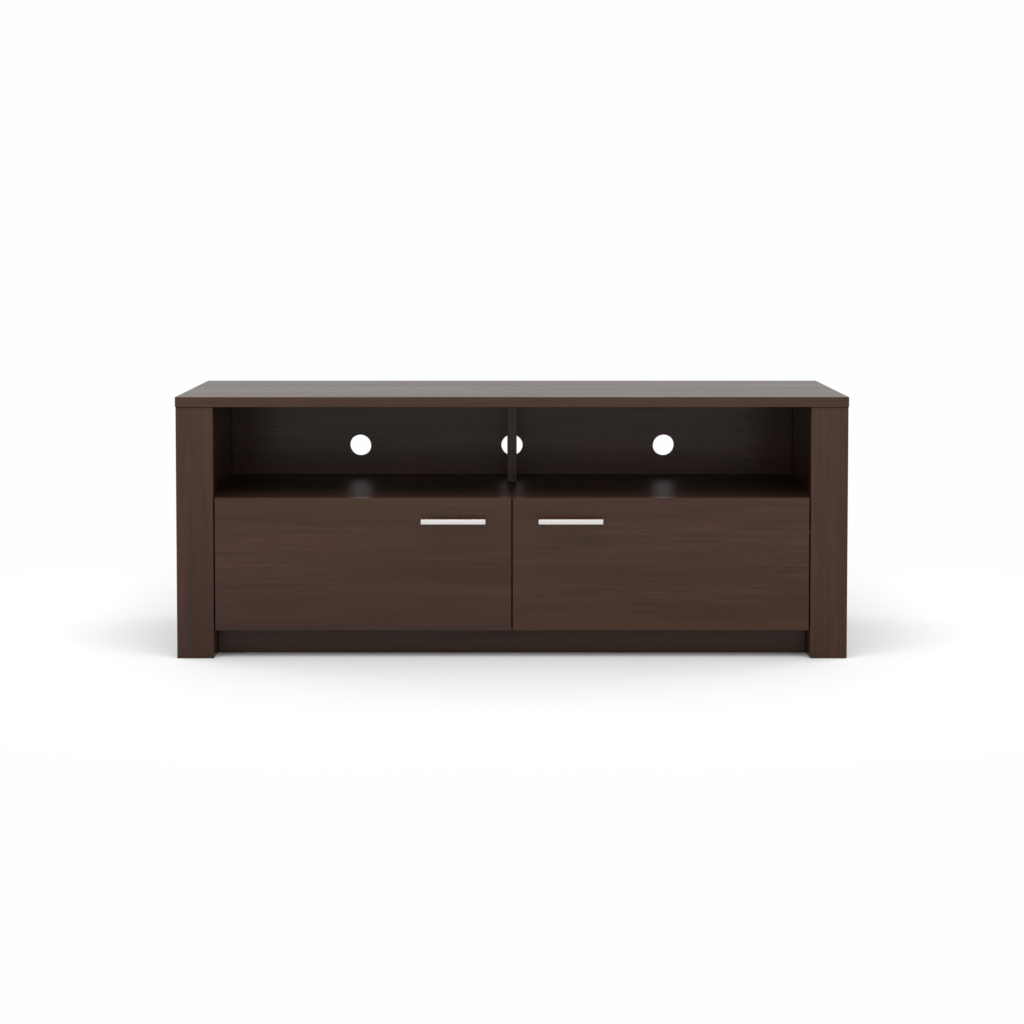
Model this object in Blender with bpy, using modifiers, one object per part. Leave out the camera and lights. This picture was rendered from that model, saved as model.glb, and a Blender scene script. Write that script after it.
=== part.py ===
"""Low television stand: an open bay over two hinged doors, between hollow sides.

Metres, +Z up. The front faces -Y and the width runs along X. The origin is on the floor under
the middle of the whole stand, door handles included. Each door turns on an upright axis at its
outer front corner, where an empty holds everything that swings with it.
"""

import math

import bmesh
import bpy
from mathutils import Matrix

# Overall sizes
WIDTH = 1.200  # across the side panels
HEIGHT = 0.470
DEPTH = 0.400  # from the front of the stiles to the back
BOARD = 0.018  # thickness of every structural board
TOP_FRONT_LIP = 0.003
TOP_SIDE_LIP = 0.0005
GAP = 0.0003  # between faces that touch
FIT = 0.0003  # around a round piece in its bore

# Sides: two boards with a cavity, a stile across the front and a strip that the hinges hold on to
SIDE_CAVITY = 0.012
HINGE_STRIP_DEPTH = 0.070

# Levels and the space between them
PLINTH_HEIGHT = 0.050
PLINTH_SETBACK = 0.050
SHELF_LEVEL = 0.285  # upper face of the shelf deck
BACK_SHEET = 0.003
BAY_DIVIDER_DEPTH = 0.120

# Cable holes in the back of the open bay
CABLE_HOLE_RADIUS = 0.021
CABLE_HOLE_SPACING = 0.2985
CABLE_HOLE_ABOVE_SHELF = 0.0585

# Doors
DOOR_THICKNESS = 0.018
DOOR_SIDE_GAP = 0.0025
DOOR_MEETING_GAP = 0.003
DOOR_OVER_SHELF = 0.004
DOOR_ABOVE_PLINTH = 0.0005
DOOR_STANDOFF = 0.002  # between the door's back and the edges it closes against

# Handles
HANDLE_LENGTH = 0.115
HANDLE_HEIGHT = 0.009
HANDLE_THICKNESS = 0.008
HANDLE_PROJECTION = 0.028
HANDLE_CENTRES = 0.096
HANDLE_FROM_MEETING_EDGE = 0.0455
HANDLE_BELOW_DOOR_TOP = 0.0393
POST_RADIUS = 0.0032
POST_DROP = 0.0011  # from the bar's middle line down to the posts
SCREW_RADIUS = 0.002
SCREW_HEAD_RADIUS = 0.0042
SCREW_HEAD_HEIGHT = 0.0022
SCREW_BITE = 0.010  # how far a handle screw reaches into its post

# Concealed hinges
HINGE_FROM_DOOR_END = 0.060
CUP_RADIUS = 0.0175
CUP_DEPTH = 0.0115
CUP_WALL = 0.0015
CUP_RIM = 0.0012  # thickness of the rim that lies on the door
CUP_RIM_LIP = 0.0015  # how far the rim reaches past the cup
CUP_FROM_DOOR_EDGE = 0.0225
EAR_SPAN = 0.062
EAR_WIDTH = 0.015
EAR_OFFSET = 0.005
PLATE_THICKNESS = 0.003
PLATE_LENGTH = 0.052
PLATE_WIDTH = 0.016
WING_SPAN = 0.044
WING_WIDTH = 0.017
PLATE_SETBACK = 0.014  # from the stile's back to the plate
ARM_WIDTH = 0.013
ARM_RISE = 0.011  # from the mounting plate to the arm's outer face
ARM_CLEARANCE = 0.0012  # between the arm's nose and the cup's rim
NOSE_LENGTH = 0.012
CRANK_LENGTH = 0.018
NOSE_THICKNESS = 0.010

# Buffers and glides
BUFFER_RADIUS = 0.004
BUFFER_FROM_MEETING_EDGE = 0.026
GLIDE_RADIUS = 0.006
GLIDE_THICKNESS = 0.003
GLIDE_PROUD = 0.0005
GLIDE_FROM_END = 0.045

# Cam fittings that hold the top on the inner sides
CAM_RADIUS = 0.0075
CAM_LENGTH = 0.0122
CAM_BELOW_TOP = 0.034
CAM_FROM_END = 0.050
DOWEL_RADIUS = 0.0035
DOWEL_IN_TOP = 0.011

# Edges
BOARD_EDGE = 0.0008
METAL_EDGE = 0.0006
MERGE = 0.00001  # joins the ends of a turned piece on its axis
FINE_STEPS = 48
ROUND_STEPS = 24

SIDES = {"left": -1, "right": 1}

FRONT = HANDLE_PROJECTION - (DEPTH + HANDLE_PROJECTION) / 2
BACK = FRONT + DEPTH
HALF_WIDTH = WIDTH / 2
HALF_BOARD = BOARD / 2
UNDER_TOP = HEIGHT - BOARD
UNDER_SHELF = SHELF_LEVEL - BOARD
BAY_HALF = HALF_WIDTH - 2 * BOARD - SIDE_CAVITY  # to the inner side's face
OPENING_HALF = BAY_HALF - BOARD  # to the stile's inner edge
STILE_BACK = FRONT + BOARD
STRIP_BACK = STILE_BACK + HINGE_STRIP_DEPTH
BACK_BOARD_FRONT = BACK - BOARD
SHEET_FRONT = BACK - BACK_SHEET
DOOR_BACK = FRONT + DOOR_THICKNESS
CARCASS_FRONT = max(DOOR_BACK + DOOR_STANDOFF, STILE_BACK + GAP)
DOOR_OUTER = OPENING_HALF - DOOR_SIDE_GAP
DOOR_INNER = DOOR_MEETING_GAP / 2
DOOR_BOTTOM = PLINTH_HEIGHT + DOOR_ABOVE_PLINTH
DOOR_TOP = SHELF_LEVEL + DOOR_OVER_SHELF
HINGE_HEIGHTS = {"lower": DOOR_BOTTOM + HINGE_FROM_DOOR_END, "upper": DOOR_TOP - HINGE_FROM_DOOR_END}
HANDLE_CENTRE = DOOR_INNER + HANDLE_FROM_MEETING_EDGE + HANDLE_LENGTH / 2
HANDLE_LEVEL = DOOR_TOP - HANDLE_BELOW_DOOR_TOP
POST_LEVEL = HANDLE_LEVEL - POST_DROP
BAR_BACK = FRONT - HANDLE_PROJECTION + HANDLE_THICKNESS
GLIDE_DEPTHS = {"front": FRONT + GLIDE_FROM_END, "rear": BACK - GLIDE_FROM_END}
CAM_DEPTHS = {"front": FRONT + CAM_FROM_END, "rear": BACK_BOARD_FRONT - CAM_FROM_END}

# Which way a turned piece's own +Z points
TO_FRONT = Matrix.Rotation(math.radians(90), 4, "X")
TO_BACK = Matrix.Rotation(math.radians(-90), 4, "X")
UPWARD = Matrix.Identity(4)


def clear_scene():
    for obj in list(bpy.data.objects):
        bpy.data.objects.remove(obj)


def new_collection(name):
    collection = bpy.data.collections.new(name)
    bpy.context.scene.collection.children.link(collection)
    return collection


def finish(name, colour, roughness, metallic=0.0):
    material = bpy.data.materials.new(name)
    material.use_nodes = True
    shader = material.node_tree.nodes["Principled BSDF"]
    shader.inputs["Base Color"].default_value = (*colour, 1.0)
    shader.inputs["Roughness"].default_value = roughness
    shader.inputs["Metallic"].default_value = metallic
    return material


def add_object(name, mesh, material, collection, parent=None):
    obj = bpy.data.objects.new(name, mesh)
    collection.objects.link(obj)
    if material is not None:
        mesh.materials.append(material)
    if parent is not None:
        obj.parent = parent
        obj.matrix_parent_inverse = parent.matrix_basis.inverted()
    return obj


def add_helper(obj):
    """A cutter or a shape to join: it works on other objects and isn't a part itself."""
    obj.hide_render = True
    obj.display_type = "WIRE"
    return obj


def box_mesh(name, size):
    shape = bmesh.new()
    bmesh.ops.create_cube(shape, size=1.0)
    bmesh.ops.scale(shape, vec=size, verts=shape.verts)
    mesh = bpy.data.meshes.new(name)
    shape.to_mesh(mesh)
    shape.free()
    return mesh


def place_box(obj, low, high):
    obj.matrix_basis = Matrix.Translation([(a + b) / 2 for a, b in zip(low, high)])


def soften(obj, width, segments):
    bevel = obj.modifiers.new("edges", "BEVEL")
    bevel.width = width
    bevel.segments = segments
    bevel.limit_method = "ANGLE"


def board(name, low, high, material, parent=None, edge=BOARD_EDGE, segments=1):
    """A flat board from corner to corner, with its edges eased."""
    mesh = box_mesh(name, [b - a for a, b in zip(low, high)])
    obj = add_object(name, mesh, material, PARTS, parent)
    place_box(obj, low, high)
    soften(obj, edge, segments)
    return obj


def across(side, near, far):
    """The lowest and highest x of a span that lies near..far from the middle, on one side."""
    return sorted((side * near, side * far))


def block_helper(name, low, high):
    obj = add_object(name, box_mesh(name, [b - a for a, b in zip(low, high)]), None, CUTTERS)
    place_box(obj, low, high)
    return add_helper(obj)


def rod_mesh(name, radius, length, steps):
    shape = bmesh.new()
    bmesh.ops.create_cone(
        shape, cap_ends=True, segments=steps, radius1=radius, radius2=radius, depth=length
    )
    mesh = bpy.data.meshes.new(name)
    shape.to_mesh(mesh)
    shape.free()
    mesh.shade_smooth()
    mesh.set_sharp_from_angle(angle=math.radians(30))
    return mesh


def rod_matrix(start, turn, length):
    return Matrix.Translation(start) @ turn @ Matrix.Translation((0, 0, length / 2))


def rod(name, start, turn, radius, length, material, parent=None):
    """A round bar that runs from its start along the turned +Z."""
    obj = add_object(name, rod_mesh(name, radius, length, ROUND_STEPS), material, PARTS, parent)
    obj.matrix_basis = rod_matrix(start, turn, length)
    return obj


def rod_helper(name, start, turn, radius, length, steps=ROUND_STEPS):
    obj = add_object(name, rod_mesh(name, radius, length, steps), None, CUTTERS)
    obj.matrix_basis = rod_matrix(start, turn, length)
    return add_helper(obj)


def turned(name, start, turn, profile, material, parent=None):
    """A turned piece: profile is (radius, height) from the top of its axis round to the bottom."""
    mesh = bpy.data.meshes.new(name)
    rims = [(radius, 0.0, height) for radius, height in profile]
    mesh.from_pydata(rims, [(i, i + 1) for i in range(len(rims) - 1)], [])
    obj = add_object(name, mesh, material, PARTS, parent)
    obj.matrix_basis = Matrix.Translation(start) @ turn
    screw = obj.modifiers.new("turn", "SCREW")
    screw.steps = ROUND_STEPS
    screw.render_steps = ROUND_STEPS
    screw.use_merge_vertices = True
    screw.merge_threshold = MERGE
    screw.use_smooth_shade = False
    return obj


def outline_piece(name, points, thickness, matrix, material, parent=None):
    """A flat piece with a drawn outline, half its thickness to each side of its plane."""
    curve = bpy.data.curves.new(name, "CURVE")
    curve.dimensions = "2D"
    curve.fill_mode = "BOTH"
    curve.extrude = thickness / 2
    spline = curve.splines.new("POLY")
    spline.points.add(len(points) - 1)
    for point, (x, y) in zip(spline.points, points):
        point.co = (x, y, 0.0, 1.0)
    spline.use_cyclic_u = True
    obj = add_object(name, curve, material, PARTS, parent)
    obj.matrix_basis = matrix
    return obj


def shape_with(obj, helper, operation="DIFFERENCE"):
    modifier = obj.modifiers.new(helper.name, "BOOLEAN")
    modifier.operation = operation
    modifier.solver = "EXACT"
    modifier.object = helper


def make_top():
    reach = HALF_WIDTH + TOP_SIDE_LIP
    top = board(
        "top_panel",
        (-reach, FRONT - TOP_FRONT_LIP, UNDER_TOP),
        (reach, BACK, HEIGHT),
        WOOD,
        segments=3,
    )
    for side_name, side in SIDES.items():
        for end, y in CAM_DEPTHS.items():
            bore = rod_helper(
                f"{side_name}_{end}_top_bore",
                (side * (BAY_HALF + HALF_BOARD), y, UNDER_TOP - BOARD),
                UPWARD,
                DOWEL_RADIUS + FIT,
                BOARD + DOWEL_IN_TOP + FIT,
            )
            shape_with(top, bore)


def make_side(name, side):
    """One hollow side: outer and inner boards, stile, hinge strip and rear filler."""
    low, high = GLIDE_PROUD, UNDER_TOP - GAP
    rear = STILE_BACK + GAP
    x0, x1 = across(side, HALF_WIDTH - BOARD, HALF_WIDTH)
    outer = board(f"{name}_outer_side", (x0, rear, low), (x1, BACK, high), WOOD, segments=2)
    x0, x1 = across(side, BAY_HALF, BAY_HALF + BOARD)
    inner = board(f"{name}_inner_side", (x0, rear, low), (x1, BACK, high), WOOD)
    x0, x1 = across(side, OPENING_HALF, HALF_WIDTH)
    board(f"{name}_stile", (x0, FRONT, low), (x1, STILE_BACK, high), WOOD, segments=3)
    x0, x1 = across(side, OPENING_HALF, BAY_HALF - GAP)
    strip_top = UNDER_SHELF - GAP
    board(f"{name}_hinge_strip", (x0, rear, low), (x1, STRIP_BACK, strip_top), WOOD)
    x0, x1 = across(side, BAY_HALF + BOARD + GAP, HALF_WIDTH - BOARD - GAP)
    board(f"{name}_rear_filler", (x0, BACK_BOARD_FRONT, low), (x1, BACK, high), WOOD)
    for end, y in GLIDE_DEPTHS.items():
        make_glide(f"{name}_{end}_glide", outer, side, y)
    for end, y in CAM_DEPTHS.items():
        make_cam(f"{name}_{end}", inner, side, y)


def make_glide(name, outer, side, y):
    """A nail-on glide let into the underside of the outer board, just proud of it."""
    x = side * (HALF_WIDTH - HALF_BOARD)
    rod(name, (x, y, 0.0), UPWARD, GLIDE_RADIUS, GLIDE_THICKNESS, PLASTIC)
    pocket = rod_helper(
        f"{name}_pocket",
        (x, y, -GLIDE_THICKNESS),
        UPWARD,
        GLIDE_RADIUS + FIT,
        2 * GLIDE_THICKNESS + GAP,
    )
    shape_with(outer, pocket)


def make_cam(name, inner, side, y):
    """A cam in the inner board and the dowel that it pulls, which stands up into the top."""
    toward_side = Matrix.Rotation(side * math.radians(90), 4, "Y")
    level = UNDER_TOP - CAM_BELOW_TOP
    x = side * (BAY_HALF + HALF_BOARD)
    pocket = rod_helper(
        f"{name}_cam_pocket",
        (side * (BAY_HALF - BOARD), y, level),
        toward_side,
        CAM_RADIUS + FIT,
        BOARD + CAM_LENGTH + 2 * FIT,
    )
    shape_with(inner, pocket)
    bore = rod_helper(
        f"{name}_dowel_bore", (x, y, level), UPWARD, DOWEL_RADIUS + FIT, CAM_BELOW_TOP + BOARD
    )
    shape_with(inner, bore)
    cam = rod(
        f"{name}_cam", (side * (BAY_HALF + GAP), y, level), toward_side, CAM_RADIUS, CAM_LENGTH, STEEL
    )
    shape_with(cam, bore)
    rod(
        f"{name}_cam_dowel",
        (x, y, level + FIT),
        UPWARD,
        DOWEL_RADIUS,
        CAM_BELOW_TOP + DOWEL_IN_TOP - FIT,
        STEEL,
    )


def make_decks():
    """The shelf under the open bay and the cupboard floor, notched round the hinge strips."""
    reach = BAY_HALF - GAP
    rear = SHEET_FRONT - GAP
    board(
        "shelf_deck",
        (-reach, CARCASS_FRONT, UNDER_SHELF),
        (reach, rear, SHELF_LEVEL),
        WOOD,
        segments=2,
    )
    bottom = board(
        "bottom_panel",
        (-reach, CARCASS_FRONT, PLINTH_HEIGHT + GAP),
        (reach, rear, PLINTH_HEIGHT + BOARD),
        WOOD,
    )
    for name, side in SIDES.items():
        x0, x1 = across(side, OPENING_HALF - GAP, BAY_HALF + BOARD)
        notch = block_helper(
            f"{name}_strip_notch",
            (x0, FRONT, 0.0),
            (x1, STRIP_BACK + GAP, PLINTH_HEIGHT + 2 * BOARD),
        )
        shape_with(bottom, notch)


def make_uprights():
    """The partition behind the doors' meeting edges and the divider in the open bay."""
    board(
        "lower_partition",
        (-HALF_BOARD, CARCASS_FRONT, PLINTH_HEIGHT + BOARD + GAP),
        (HALF_BOARD, SHEET_FRONT - GAP, UNDER_SHELF - GAP),
        WOOD,
    )
    board(
        "upper_divider",
        (-HALF_BOARD, BACK_BOARD_FRONT - BAY_DIVIDER_DEPTH, SHELF_LEVEL + GAP),
        (HALF_BOARD, BACK_BOARD_FRONT - GAP, UNDER_TOP - GAP),
        WOOD,
        segments=2,
    )


def make_plinth():
    low = GLIDE_PROUD
    front = FRONT + PLINTH_SETBACK
    reach = OPENING_HALF - GAP
    board("front_plinth", (-reach, front, low), (reach, front + BOARD, PLINTH_HEIGHT), WOOD)
    reach = BAY_HALF - GAP
    board("rear_plinth", (-reach, BACK_BOARD_FRONT, low), (reach, BACK, PLINTH_HEIGHT), WOOD)
    board(
        "centre_brace",
        (-HALF_BOARD, front + BOARD + GAP, low),
        (HALF_BOARD, BACK_BOARD_FRONT - GAP, PLINTH_HEIGHT),
        WOOD,
    )


def make_backs():
    """The drilled board behind the open bay and the thin sheet behind the cupboards."""
    reach = BAY_HALF - GAP
    upper = board(
        "upper_back_panel",
        (-reach, BACK_BOARD_FRONT, SHELF_LEVEL + GAP),
        (reach, BACK, UNDER_TOP - GAP),
        WOOD,
    )
    for name, step in (("left", -1), ("centre", 0), ("right", 1)):
        hole = rod_helper(
            f"{name}_cable_hole",
            (step * CABLE_HOLE_SPACING, BACK + BOARD, SHELF_LEVEL + CABLE_HOLE_ABOVE_SHELF),
            TO_FRONT,
            CABLE_HOLE_RADIUS,
            3 * BOARD,
            FINE_STEPS,
        )
        shape_with(upper, hole)
    board(
        "lower_back_panel",
        (-reach, SHEET_FRONT, PLINTH_HEIGHT + GAP),
        (reach, BACK, SHELF_LEVEL),
        WOOD,
        edge=BACK_SHEET / 10,
    )


def make_door(name, side):
    """One door with its handle, hinge cups and buffers, all on the door's axis."""
    axis = bpy.data.objects.new(f"{name}_door_axis", None)
    PARTS.objects.link(axis)
    axis.matrix_basis = Matrix.Translation((side * DOOR_OUTER, FRONT, (DOOR_BOTTOM + DOOR_TOP) / 2))
    x0, x1 = across(side, DOOR_INNER, DOOR_OUTER)
    door = board(
        f"{name}_door_panel",
        (x0, FRONT, DOOR_BOTTOM),
        (x1, DOOR_BACK, DOOR_TOP),
        WOOD,
        parent=axis,
        segments=3,
    )
    for level_name, level in HINGE_HEIGHTS.items():
        make_cup(f"{name}_{level_name}", door, side, level, axis)
        make_arm(f"{name}_{level_name}", side, level)
    make_handle(name, door, side, axis)
    for level_name, level in (
        ("lower", PLINTH_HEIGHT + HALF_BOARD),
        ("upper", SHELF_LEVEL - HALF_BOARD),
    ):
        rod(
            f"{name}_{level_name}_buffer",
            (side * (DOOR_INNER + BUFFER_FROM_MEETING_EDGE), DOOR_BACK + GAP, level),
            TO_BACK,
            BUFFER_RADIUS,
            CARCASS_FRONT - DOOR_BACK - 2 * GAP,
            PLASTIC,
            parent=axis,
        )


def make_cup(name, door, side, level, axis):
    """A hinge cup pressed into the door's back, with a rim and two screw ears."""
    x = side * (DOOR_OUTER - CUP_FROM_DOOR_EDGE)
    rim_top = GAP + CUP_RIM
    cup = turned(
        f"{name}_hinge_cup",
        (x, DOOR_BACK, level),
        TO_BACK,
        (
            (0.0, rim_top),
            (CUP_RADIUS + CUP_RIM_LIP, rim_top),
            (CUP_RADIUS + CUP_RIM_LIP, GAP),
            (CUP_RADIUS, GAP),
            (CUP_RADIUS, -CUP_DEPTH + GAP),
            (0.0, -CUP_DEPTH + GAP),
        ),
        STEEL,
        parent=axis,
    )
    middle = x - side * EAR_OFFSET
    ears = block_helper(
        f"{name}_cup_ears",
        (middle - EAR_WIDTH / 2, DOOR_BACK + GAP, level - EAR_SPAN / 2),
        (middle + EAR_WIDTH / 2, DOOR_BACK + rim_top - GAP, level + EAR_SPAN / 2),
    )
    shape_with(cup, ears, "UNION")
    hollow = rod_helper(
        f"{name}_cup_hollow",
        (x, DOOR_BACK + CUP_DEPTH, level),
        TO_FRONT,
        CUP_RADIUS - CUP_WALL,
        2 * CUP_DEPTH - GAP - CUP_WALL,
    )
    shape_with(cup, hollow)
    bore = rod_helper(
        f"{name}_cup_bore",
        (x, DOOR_BACK + CUP_DEPTH, level),
        TO_FRONT,
        CUP_RADIUS + FIT,
        2 * CUP_DEPTH + FIT,
    )
    shape_with(door, bore)


def make_arm(name, side, level):
    """The mounting plate on the hinge strip and the cranked arm that reaches over the cup."""
    face = OPENING_HALF - GAP
    plate_front = STILE_BACK + PLATE_SETBACK
    half_length, half_width = PLATE_LENGTH / 2, PLATE_WIDTH / 2
    half_wing, half_span = WING_WIDTH / 2, WING_SPAN / 2
    quarter = [(half_length, half_width), (half_wing, half_width), (half_wing, half_span)]
    upper = quarter + [(-y, z) for y, z in reversed(quarter)]
    cross = upper + [(-y, -z) for y, z in upper]
    flat_on_strip = Matrix.Translation(
        (side * (face - PLATE_THICKNESS / 2), plate_front + half_length, level)
    ) @ Matrix(((0, 0, 1, 0), (1, 0, 0, 0), (0, 1, 0, 0), (0, 0, 0, 1)))
    outline_piece(f"{name}_hinge_plate", cross, PLATE_THICKNESS, flat_on_strip, STEEL)

    root = face - PLATE_THICKNESS - GAP  # the arm's face on the plate
    outer = root - ARM_RISE
    nose = DOOR_OUTER - CUP_FROM_DOOR_EDGE - NOSE_THICKNESS / 2  # inner face of the nose
    tip = max(DOOR_BACK, STILE_BACK) + GAP + CUP_RIM + ARM_CLEARANCE
    rear = plate_front + PLATE_LENGTH
    bend = tip + NOSE_LENGTH
    heel = bend + CRANK_LENGTH
    outline = (
        (root, rear),
        (root, heel),
        (nose + NOSE_THICKNESS, bend),
        (nose + NOSE_THICKNESS, tip),
        (nose, tip),
        (nose, bend),
        (outer, heel),
        (outer, rear),
    )
    points = [(side * x, y) for x, y in outline][::side]
    outline_piece(
        f"{name}_hinge_arm", points, ARM_WIDTH, Matrix.Translation((0, 0, level)), STEEL
    )


def make_handle(name, door, side, axis):
    """A bar on two posts, each held by a screw through the door."""
    x = side * HANDLE_CENTRE
    half_length, half_height = HANDLE_LENGTH / 2, HANDLE_HEIGHT / 2
    board(
        f"{name}_handle_bar",
        (x - half_length, FRONT - HANDLE_PROJECTION, HANDLE_LEVEL - half_height),
        (x + half_length, BAR_BACK, HANDLE_LEVEL + half_height),
        SATIN,
        parent=axis,
        edge=METAL_EDGE,
        segments=2,
    )
    for end, step in (("inner", -side), ("outer", side)):
        centre = x + step * HANDLE_CENTRES / 2
        post = rod(
            f"{name}_{end}_handle_post",
            (centre, FRONT - GAP, POST_LEVEL),
            TO_FRONT,
            POST_RADIUS,
            FRONT - BAR_BACK - 2 * GAP,
            SATIN,
            parent=axis,
        )
        bore = rod_helper(
            f"{name}_{end}_screw_bore",
            (centre, DOOR_BACK + DOOR_THICKNESS, POST_LEVEL),
            TO_FRONT,
            SCREW_RADIUS + FIT,
            2 * DOOR_THICKNESS + SCREW_BITE + FIT,
        )
        shape_with(door, bore)
        shape_with(post, bore)
        turned(
            f"{name}_{end}_handle_screw",
            (centre, DOOR_BACK + GAP, POST_LEVEL),
            TO_BACK,
            (
                (0.0, SCREW_HEAD_HEIGHT),
                (SCREW_HEAD_RADIUS, SCREW_HEAD_HEIGHT),
                (SCREW_HEAD_RADIUS, 0.0),
                (SCREW_RADIUS, 0.0),
                (SCREW_RADIUS, -DOOR_THICKNESS - SCREW_BITE + FIT),
                (0.0, -DOOR_THICKNESS - SCREW_BITE + FIT),
            ),
            STEEL,
            parent=axis,
        )


clear_scene()
PARTS = new_collection("television_stand")
CUTTERS = new_collection("television_stand_cutters")
WOOD = finish("espresso_laminate", (0.066, 0.041, 0.031), 0.42)
STEEL = finish("nickel_plated_steel", (0.58, 0.57, 0.55), 0.32, 1.0)
SATIN = finish("satin_metal", (0.72, 0.71, 0.68), 0.35, 1.0)
PLASTIC = finish("pale_plastic", (0.55, 0.55, 0.53), 0.5)

make_top()
for side_name, side_sign in SIDES.items():
    make_side(side_name, side_sign)
    make_door(side_name, side_sign)
make_decks()
make_uprights()
make_plinth()
make_backs()
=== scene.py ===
"""Looks of the low television stand: laminated boards, fittings and a white studio."""

import math

import bmesh
import bpy
from mathutils import Matrix, Vector


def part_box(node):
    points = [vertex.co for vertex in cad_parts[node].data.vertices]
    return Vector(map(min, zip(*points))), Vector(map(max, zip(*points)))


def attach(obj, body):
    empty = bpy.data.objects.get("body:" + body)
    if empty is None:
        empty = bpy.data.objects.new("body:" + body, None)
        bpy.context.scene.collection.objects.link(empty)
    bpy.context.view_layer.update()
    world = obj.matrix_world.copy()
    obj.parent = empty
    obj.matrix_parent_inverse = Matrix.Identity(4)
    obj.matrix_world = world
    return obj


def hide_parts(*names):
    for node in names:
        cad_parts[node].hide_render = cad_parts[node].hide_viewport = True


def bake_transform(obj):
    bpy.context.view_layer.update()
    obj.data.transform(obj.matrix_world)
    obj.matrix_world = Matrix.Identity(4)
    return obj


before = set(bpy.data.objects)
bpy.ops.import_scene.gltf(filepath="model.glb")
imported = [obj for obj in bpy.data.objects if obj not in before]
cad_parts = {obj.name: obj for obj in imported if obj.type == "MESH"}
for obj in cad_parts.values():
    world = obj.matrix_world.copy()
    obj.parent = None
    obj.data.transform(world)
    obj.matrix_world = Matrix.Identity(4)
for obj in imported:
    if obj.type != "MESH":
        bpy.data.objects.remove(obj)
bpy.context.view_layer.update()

SIDES = {"left": -1, "right": 1}
X, Y, Z = 0, 1, 2

# Studio: places and sizes in metres, powers in watts
CAMERA_PLACE = (0.0, -3.834, 0.7653)
CAMERA_PITCH = 2.697  # degrees below level
CAMERA_LENS = 72.18
CAMERA_SHIFT = -0.17995
SENSOR_WIDTH = 36.0
WHITE = (1.0, 1.0, 1.0, 1.0)
ROOM_SEEN = 0.99
ROOM_FRONT = 1.2
ROOM_BACK = 0.7
FLOOR_TONE = 0.677
FLOOR_BOUNCE = 0.15
FLOOR_FADE_START = 0.7
FLOOR_FADE_END = 1.4
FLOOR_SEGMENTS = 96
OVERHEAD_PLACE = (0.0, -0.85, 1.45)
OVERHEAD_TARGET = (0.0, 0.0, 0.25)
OVERHEAD_SIZE = (2.4, 0.6)
OVERHEAD_POWER = 16.0
SIDE_LIGHT_PLACE = (1.9, 0.35, 0.6)
SIDE_LIGHT_SIZE = (1.0, 0.6)
SIDE_LIGHT_POWER = 16.0
SIDE_LIGHT_TARGET = 0.6

# Fittings, in metres
UPWARDS = (0.0, 0.0, 1.0)
FORWARDS = (0.0, -1.0, 0.0)
BACKWARDS = (0.0, 1.0, 0.0)
BAR_EDGE = 0.0009
STEEL_SHEET = 0.0012
PIN_RADIUS = 0.0013
CUP_WALL = 0.0009
CUP_DEPTH = 0.0112
CUP_RADIUS = 0.0175
CUP_LIP = 0.0015
EAR_SCREW_STEP = 0.0245
EAR_START = 0.0168
EAR_END = 0.031
EAR_OFFSET = 0.005
EAR_HALF_WIDTH = 0.0075
EAR_THICKNESS = 0.0011
WING_SCREW_STEP = 0.0165
LINK_WIDTH = 0.0088
LINK_THICKNESS = 0.0011
LINK_STEPS = 24
CAP_RADIUS = 0.0095
CAP_HEIGHT = 0.0006
PIN_SPACING = 0.1
PIN_HEAD_RADIUS = 0.0028
PIN_HEAD_RISE = 0.0003
GROOVE_DEPTH = 0.0008
# Screw heads: radius, rise at the middle, rise at the rim, depth of the cross
HANDLE_SCREW = (0.0042, 0.0022, 0.0011, 0.0012)
EAR_SCREW = (0.0036, 0.0008, 0.0001, 0.0006)
WING_SCREW = (0.0036, 0.0009, 0.0003, 0.0007)
ARM_SCREW = (0.0011, 0.0005, 0.0009)  # without the radius, as the arm has two sizes
RISE = 1
HANDLE_SHANK = ((0.0, -0.0275), (0.0012, -0.0275), (0.0019, -0.0262), (0.0019, 0.0), (0.0, 0.0))
# Link pins: how far towards the door's edge from the cup's middle, and how deep in the cup
CUP_PINS = ((0.0052, 0.0034), (-0.0030, 0.0052))
CUP_PIN_LENGTH = 0.0120
# Link pins in the arm's nose: how far from the nose's inner face, and how far back from its tip
NOSE_PINS = ((0.0074, 0.0052), (0.0028, 0.0062))
LINK_SETBACK = 0.0016
# Where the links' fold would start behind the arm's tip, and end inside the cup; nothing folds the
# links
FOLD_START = 0.0050
FOLD_END = 0.0034
GLIDE_NAIL = ((0.0, 0.0004), (0.0012, 0.0005), (0.0018, 0.0009), (0.0, 0.0012))
MERGE = 0.000001

ENDS = ("front", "rear")
LEVELS = ("lower", "upper")
POSTS = ("inner", "outer")


def opaque(colour, share=1.0):
    """A shader's colour with full alpha, dimmed to a share of its brightness."""
    return (*(channel * share for channel in colour), 1.0)


# ---------------------------------------------------------------- studio

def make_camera():
    """A long lens straight in front of the stand, looking down a little."""
    data = bpy.data.cameras.new("studio_camera")
    data.lens = CAMERA_LENS
    data.sensor_width = SENSOR_WIDTH
    data.shift_y = CAMERA_SHIFT
    camera = bpy.data.objects.new("studio_camera", data)
    camera.location = CAMERA_PLACE
    camera.rotation_euler = (math.radians(90 - CAMERA_PITCH), 0.0, 0.0)
    bpy.context.scene.collection.objects.link(camera)
    bpy.context.scene.camera = camera


def make_softbox(name, place, size, power, target):
    """A wide soft lamp aimed at a point."""
    data = bpy.data.lights.new(name, "AREA")
    data.shape = "RECTANGLE"
    data.size, data.size_y = size
    data.energy = power
    light = bpy.data.objects.new(name, data)
    light.location = place
    light.visible_camera = False
    aim = Vector(target) - light.location
    light.rotation_euler = aim.to_track_quat("-Z", "Y").to_euler()
    bpy.context.scene.collection.objects.link(light)


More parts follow.
